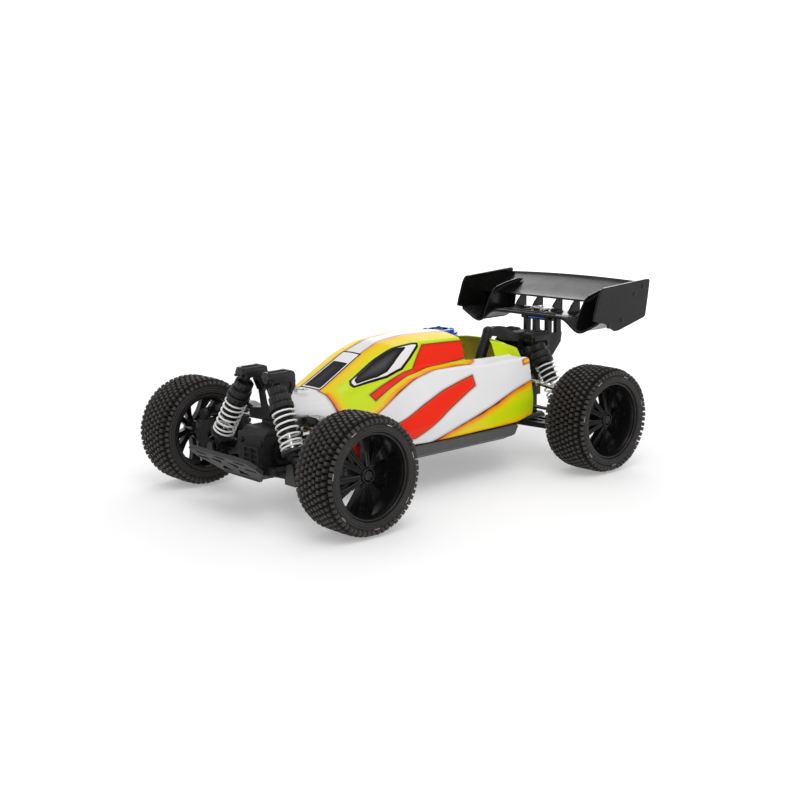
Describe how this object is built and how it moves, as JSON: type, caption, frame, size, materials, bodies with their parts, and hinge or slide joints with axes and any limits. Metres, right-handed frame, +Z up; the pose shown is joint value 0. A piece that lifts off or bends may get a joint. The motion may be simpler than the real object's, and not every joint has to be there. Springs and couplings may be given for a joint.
{
  "type": "rc buggy",
  "caption": "Four-wheel-drive off-road racing buggy model with sprung wishbone suspension, steering, pin tyres, painted shell and a high rear wing.",
  "frame": {"origin": "centre of the car's bounding footprint, on the ground", "axes": "+Z up, -Y forwards (towards the bumper), +X to the car's left"},
  "size_m": [0.25, 0.412, 0.156],
  "materials": {
    "shell_paint": "glossy painted polycarbonate",
    "black_nylon": "satin moulded nylon",
    "gloss_black": "polished black",
    "dark_grey": "satin",
    "chassis_alloy": "anodised dark grey",
    "blue_alloy": "blue anodised",
    "bare_alloy": "cast and machined",
    "steel": "bright steel",
    "spring_white": "white powder coat",
    "tyre_rubber": "brownish black rubber",
    "rim_black": "glossy black nylon",
    "tank_plastic": "milky"
  },
  "bodies": {
    "car": {"chassis_plate": "chassis_alloy", "front_bumper": "dark_grey", "front_gearbox": "black_nylon", "rear_gearbox": "black_nylon", "front_shock_tower": "black_nylon", "rear_shock_tower": "black_nylon", "wing_mount": "black_nylon", "wing": "gloss_black", "body_shell": "shell_paint", "spring_clips": "steel", "roll_bar": "black_nylon", "radio_box": "dark_grey", "fuel_tank": "tank_plastic", "engine_block": "bare_alloy", "cooling_head": "blue_alloy", "exhaust_pipe": "bare_alloy"},
    "centre_drive": {"centre_drive": "steel"},
    "clutch_bell": {"clutch_bell": "steel"},
    "servo_saver": {"servo_saver": "black_nylon"},
    "steering_plate": {"steering_plate": "steel"},
    "front_arm_left": {"front_lower_arm_left": "black_nylon"},
    "front_upper_left": {"front_upper_arm_left": "gloss_black"},
    "front_hub_left": {"caster_block_left": "black_nylon"},
    "front_shaft_left": {"front_drive_shaft_left": "steel"},
    "front_shock_left": {"front_shock_body_left": "black_nylon", "front_spring_left": "spring_white"},
    "front_shock_ram_left": {"front_shock_rod_left": "black_nylon"},
    "knuckle_left": {"steering_knuckle_left": "black_nylon"},
    "tie_rod_left": {"tie_rod_left": "steel"},
    "front_wheel_left": {"rim_front_left": "rim_black", "tyre_front_left": "tyre_rubber"},
    "rear_arm_left": {"rear_lower_arm_left": "black_nylon"},
    "rear_upper_left": {"rear_upper_link_left": "steel"},
    "rear_hub_left": {"rear_hub_carrier_left": "black_nylon"},
    "rear_shaft_left": {"rear_drive_shaft_left": "steel"},
    "rear_shock_left": {"rear_shock_body_left": "black_nylon", "rear_spring_left": "spring_white"},
    "rear_shock_ram_left": {"rear_shock_rod_left": "black_nylon"},
    "rear_wheel_left": {"rim_rear_left": "rim_black", "tyre_rear_left": "tyre_rubber"},
    "front_arm_right": {"front_lower_arm_right": "black_nylon"},
    "front_upper_right": {"front_upper_arm_right": "gloss_black"},
    "front_hub_right": {"caster_block_right": "black_nylon"},
    "front_shaft_right": {"front_drive_shaft_right": "steel"},
    "front_shock_right": {"front_shock_body_right": "black_nylon", "front_spring_right": "spring_white"},
    "front_shock_ram_right": {"front_shock_rod_right": "black_nylon"},
    "knuckle_right": {"steering_knuckle_right": "black_nylon"},
    "tie_rod_right": {"tie_rod_right": "steel"},
    "front_wheel_right": {"rim_front_right": "rim_black", "tyre_front_right": "tyre_rubber"},
    "rear_arm_right": {"rear_lower_arm_right": "black_nylon"},
    "rear_upper_right": {"rear_upper_link_right": "steel"},
    "rear_hub_right": {"rear_hub_carrier_right": "black_nylon"},
    "rear_shaft_right": {"rear_drive_shaft_right": "steel"},
    "rear_shock_right": {"rear_shock_body_right": "black_nylon", "rear_spring_right": "spring_white"},
    "rear_shock_ram_right": {"rear_shock_rod_right": "black_nylon"},
    "rear_wheel_right": {"rim_rear_right": "rim_black", "tyre_rear_right": "tyre_rubber"}
  },
  "joints": [
    {"name": "steering", "type": "slide", "parent": "car", "child": "steering_plate", "axis": [1, 0, 0], "range_m": [-0.00524, 0.00524]},
    {"name": "servo_saver_pivot", "type": "hinge", "parent": "car", "child": "servo_saver", "pos_m": [0, -0.1177, 0.057], "axis": [0, 0, 1], "range_deg": [-19.34, 19.34]},
    {"name": "centre_drive_spin", "type": "hinge", "parent": "car", "child": "centre_drive", "pos_m": [0, -0.0207, 0.048], "axis": [0, 1, 0], "continuous": true},
    {"name": "clutch_bell_spin", "type": "hinge", "parent": "car", "child": "clutch_bell", "pos_m": [-0.017, -0.0207, 0.06132], "axis": [0, 1, 0], "continuous": true},
    {"name": "front_arm_left", "type": "hinge", "parent": "car", "child": "front_arm_left", "pos_m": [0.024, -0.1547, 0.033], "axis": [0, -1, 0], "range_deg": [0, 18], "stiffness_Nm_per_rad": 3, "springref_deg": -17.19},
    {"name": "front_upper_left", "type": "hinge", "parent": "car", "child": "front_upper_left", "pos_m": [0.028, -0.1547, 0.07], "axis": [0, -1, 0], "range_deg": [-0.2, 20.51]},
    {"name": "front_hub_left", "type": "hinge", "parent": "front_arm_left", "child": "front_hub_left", "pos_m": [0.086, -0.1547, 0.03], "axis": [0, -1, 0], "range_deg": [-20.43, 0.2]},
    {"name": "front_shaft_left", "type": "hinge", "parent": "car", "child": "front_shaft_left", "pos_m": [0.0245, -0.1547, 0.045], "axis": [0, -1, 0], "range_deg": [-0.2, 17.02]},
    {"name": "front_shock_left", "type": "hinge", "parent": "car", "child": "front_shock_left", "pos_m": [0.017, -0.1617, 0.104], "axis": [0, -1, 0], "range_deg": [-0.2, 1.16]},
    {"name": "front_shock_ram_left", "type": "slide", "parent": "front_shock_left", "child": "front_shock_ram_left", "axis": [-0.499, 0.1109, 0.8595], "range_m": [-0.0002, 0.00971], "deforming": ["front_spring_left"]},
    {"name": "knuckle_left", "type": "hinge", "parent": "front_hub_left", "child": "knuckle_left", "pos_m": [0.09, -0.1547, 0.045], "axis": [0, 0, -1], "range_deg": [-22.2, 22.2]},
    {"name": "tie_rod_left", "type": "hinge", "parent": "steering_plate", "child": "tie_rod_left", "pos_m": [0.014, -0.1337, 0.0616], "axis": [0, -1, 0], "range_deg": [-0.2, 14.66]},
    {"name": "front_wheel_spin_left", "type": "hinge", "parent": "knuckle_left", "child": "front_wheel_left", "pos_m": [0.104, -0.1547, 0.045], "axis": [1, 0, 0], "continuous": true},
    {"name": "rear_arm_left", "type": "hinge", "parent": "car", "child": "rear_arm_left", "pos_m": [0.024, 0.1133, 0.033], "axis": [0, -1, 0], "range_deg": [0, 18], "stiffness_Nm_per_rad": 3, "springref_deg": -17.19},
    {"name": "rear_upper_left", "type": "hinge", "parent": "car", "child": "rear_upper_left", "pos_m": [0.028, 0.1133, 0.07], "axis": [0, -1, 0], "range_deg": [-0.2, 21.02]},
    {"name": "rear_hub_left", "type": "hinge", "parent": "rear_arm_left", "child": "rear_hub_left", "pos_m": [0.084, 0.1133, 0.03], "axis": [0, -1, 0], "range_deg": [-20.43, 0.2]},
    {"name": "rear_shaft_left", "type": "hinge", "parent": "car", "child": "rear_shaft_left", "pos_m": [0.0245, 0.1133, 0.045], "axis": [0, -1, 0], "range_deg": [-0.2, 19.9]},
    {"name": "rear_shock_left", "type": "hinge", "parent": "car", "child": "rear_shock_left", "pos_m": [0.017, 0.1273, 0.104], "axis": [0, -1, 0], "range_deg": [-0.2, 1.16]},
    {"name": "rear_shock_ram_left", "type": "slide", "parent": "rear_shock_left", "child": "rear_shock_ram_left", "axis": [-0.5021, 0, 0.8648], "range_m": [-0.0002, 0.00965], "deforming": ["rear_spring_left"]},
    {"name": "rear_wheel_spin_left", "type": "hinge", "parent": "rear_hub_left", "child": "rear_wheel_left", "pos_m": [0.104, 0.1133, 0.045], "axis": [1, 0, 0], "continuous": true},
    {"name": "front_arm_right", "type": "hinge", "parent": "car", "child": "front_arm_right", "pos_m": [-0.024, -0.1547, 0.033], "axis": [0, 1, 0], "range_deg": [0, 18], "stiffness_Nm_per_rad": 3, "springref_deg": -17.19},
    {"name": "front_upper_right", "type": "hinge", "parent": "car", "child": "front_upper_right", "pos_m": [-0.028, -0.1547, 0.07], "axis": [0, 1, 0], "range_deg": [-0.2, 20.51]},
    {"name": "front_hub_right", "type": "hinge", "parent": "front_arm_right", "child": "front_hub_right", "pos_m": [-0.086, -0.1547, 0.03], "axis": [0, 1, 0], "range_deg": [-20.43, 0.2]},
    {"name": "front_shaft_right", "type": "hinge", "parent": "car", "child": "front_shaft_right", "pos_m": [-0.0245, -0.1547, 0.045], "axis": [0, 1, 0], "range_deg": [-0.2, 17.02]},
    {"name": "front_shock_right", "type": "hinge", "parent": "car", "child": "front_shock_right", "pos_m": [-0.017, -0.1617, 0.104], "axis": [0, 1, 0], "range_deg": [-0.2, 1.16]},
    {"name": "front_shock_ram_right", "type": "slide", "parent": "front_shock_right", "child": "front_shock_ram_right", "axis": [0.499, 0.1109, 0.8595], "range_m": [-0.0002, 0.00971], "deforming": ["front_spring_right"]},
    {"name": "knuckle_right", "type": "hinge", "parent": "front_hub_right", "child": "knuckle_right", "pos_m": [-0.09, -0.1547, 0.045], "axis": [0, 0, -1], "range_deg": [-22.2, 22.2]},
    {"name": "tie_rod_right", "type": "hinge", "parent": "steering_plate", "child": "tie_rod_right", "pos_m": [-0.014, -0.1337, 0.0616], "axis": [0, 1, 0], "range_deg": [-0.2, 14.66]},
    {"name": "front_wheel_spin_right", "type": "hinge", "parent": "knuckle_right", "child": "front_wheel_right", "pos_m": [-0.104, -0.1547, 0.045], "axis": [1, 0, 0], "continuous": true},
    {"name": "rear_arm_right", "type": "hinge", "parent": "car", "child": "rear_arm_right", "pos_m": [-0.024, 0.1133, 0.033], "axis": [0, 1, 0], "range_deg": [0, 18], "stiffness_Nm_per_rad": 3, "springref_deg": -17.19},
    {"name": "rear_upper_right", "type": "hinge", "parent": "car", "child": "rear_upper_right", "pos_m": [-0.028, 0.1133, 0.07], "axis": [0, 1, 0], "range_deg": [-0.2, 21.02]},
    {"name": "rear_hub_right", "type": "hinge", "parent": "rear_arm_right", "child": "rear_hub_right", "pos_m": [-0.084, 0.1133, 0.03], "axis": [0, 1, 0], "range_deg": [-20.43, 0.2]},
    {"name": "rear_shaft_right", "type": "hinge", "parent": "car", "child": "rear_shaft_right", "pos_m": [-0.0245, 0.1133, 0.045], "axis": [0, 1, 0], "range_deg": [-0.2, 19.9]},
    {"name": "rear_shock_right", "type": "hinge", "parent": "car", "child": "rear_shock_right", "pos_m": [-0.017, 0.1273, 0.104], "axis": [0, 1, 0], "range_deg": [-0.2, 1.16]},
    {"name": "rear_shock_ram_right", "type": "slide", "parent": "rear_shock_right", "child": "rear_shock_ram_right", "axis": [0.5021, 0, 0.8648], "range_m": [-0.0002, 0.00965], "deforming": ["rear_spring_right"]},
    {"name": "rear_wheel_spin_right", "type": "hinge", "parent": "rear_hub_right", "child": "rear_wheel_right", "pos_m": [-0.104, 0.1133, 0.045], "axis": [1, 0, 0], "continuous": true}
  ],
  "couplings": [
    {"joint": "servo_saver_pivot", "follows": "steering", "rad_per_m": 62.5},
    {"joint": "front_upper_left", "follows": "front_arm_left", "ratio": 1.1229},
    {"joint": "front_hub_left", "follows": "front_arm_left", "ratio": -1.1185},
    {"joint": "front_shaft_left", "follows": "front_arm_left", "ratio": 0.9288},
    {"joint": "front_shock_left", "follows": "front_arm_left", "ratio": 0.0478},
    {"joint": "front_shock_ram_left", "follows": "front_arm_left", "m_per_rad": 0.030279},
    {"joint": "knuckle_left", "follows": "steering", "rad_per_m": 73.214},
    {"joint": "tie_rod_left", "follows": "front_arm_left", "ratio": 0.7977},
    {"joint": "front_wheel_spin_left", "follows": "rear_wheel_spin_left", "ratio": 1},
    {"joint": "rear_upper_left", "follows": "rear_arm_left", "ratio": 1.1512},
    {"joint": "rear_hub_left", "follows": "rear_arm_left", "ratio": -1.1186},
    {"joint": "rear_shaft_left", "follows": "rear_arm_left", "ratio": 1.0889},
    {"joint": "rear_shock_left", "follows": "rear_arm_left", "ratio": 0.0478},
    {"joint": "rear_shock_ram_left", "follows": "rear_arm_left", "m_per_rad": 0.030092},
    {"joint": "front_upper_right", "follows": "front_arm_right", "ratio": 1.1229},
    {"joint": "front_hub_right", "follows": "front_arm_right", "ratio": -1.1185},
    {"joint": "front_shaft_right", "follows": "front_arm_right", "ratio": 0.9288},
    {"joint": "front_shock_right", "follows": "front_arm_right", "ratio": 0.0478},
    {"joint": "front_shock_ram_right", "follows": "front_arm_right", "m_per_rad": 0.030279},
    {"joint": "knuckle_right", "follows": "steering", "rad_per_m": 73.214},
    {"joint": "tie_rod_right", "follows": "front_arm_right", "ratio": 0.7977},
    {"joint": "front_wheel_spin_right", "follows": "rear_wheel_spin_left", "ratio": 1},
    {"joint": "rear_upper_right", "follows": "rear_arm_right", "ratio": 1.1512},
    {"joint": "rear_hub_right", "follows": "rear_arm_right", "ratio": -1.1186},
    {"joint": "rear_shaft_right", "follows": "rear_arm_right", "ratio": 1.0889},
    {"joint": "rear_shock_right", "follows": "rear_arm_right", "ratio": 0.0478},
    {"joint": "rear_shock_ram_right", "follows": "rear_arm_right", "m_per_rad": 0.030092},
    {"joint": "rear_wheel_spin_right", "follows": "rear_wheel_spin_left", "ratio": 1},
    {"joint": "centre_drive_spin", "follows": "rear_wheel_spin_left", "ratio": 2.9231},
    {"joint": "clutch_bell_spin", "follows": "rear_wheel_spin_left", "ratio": -8.3516}
  ]
}
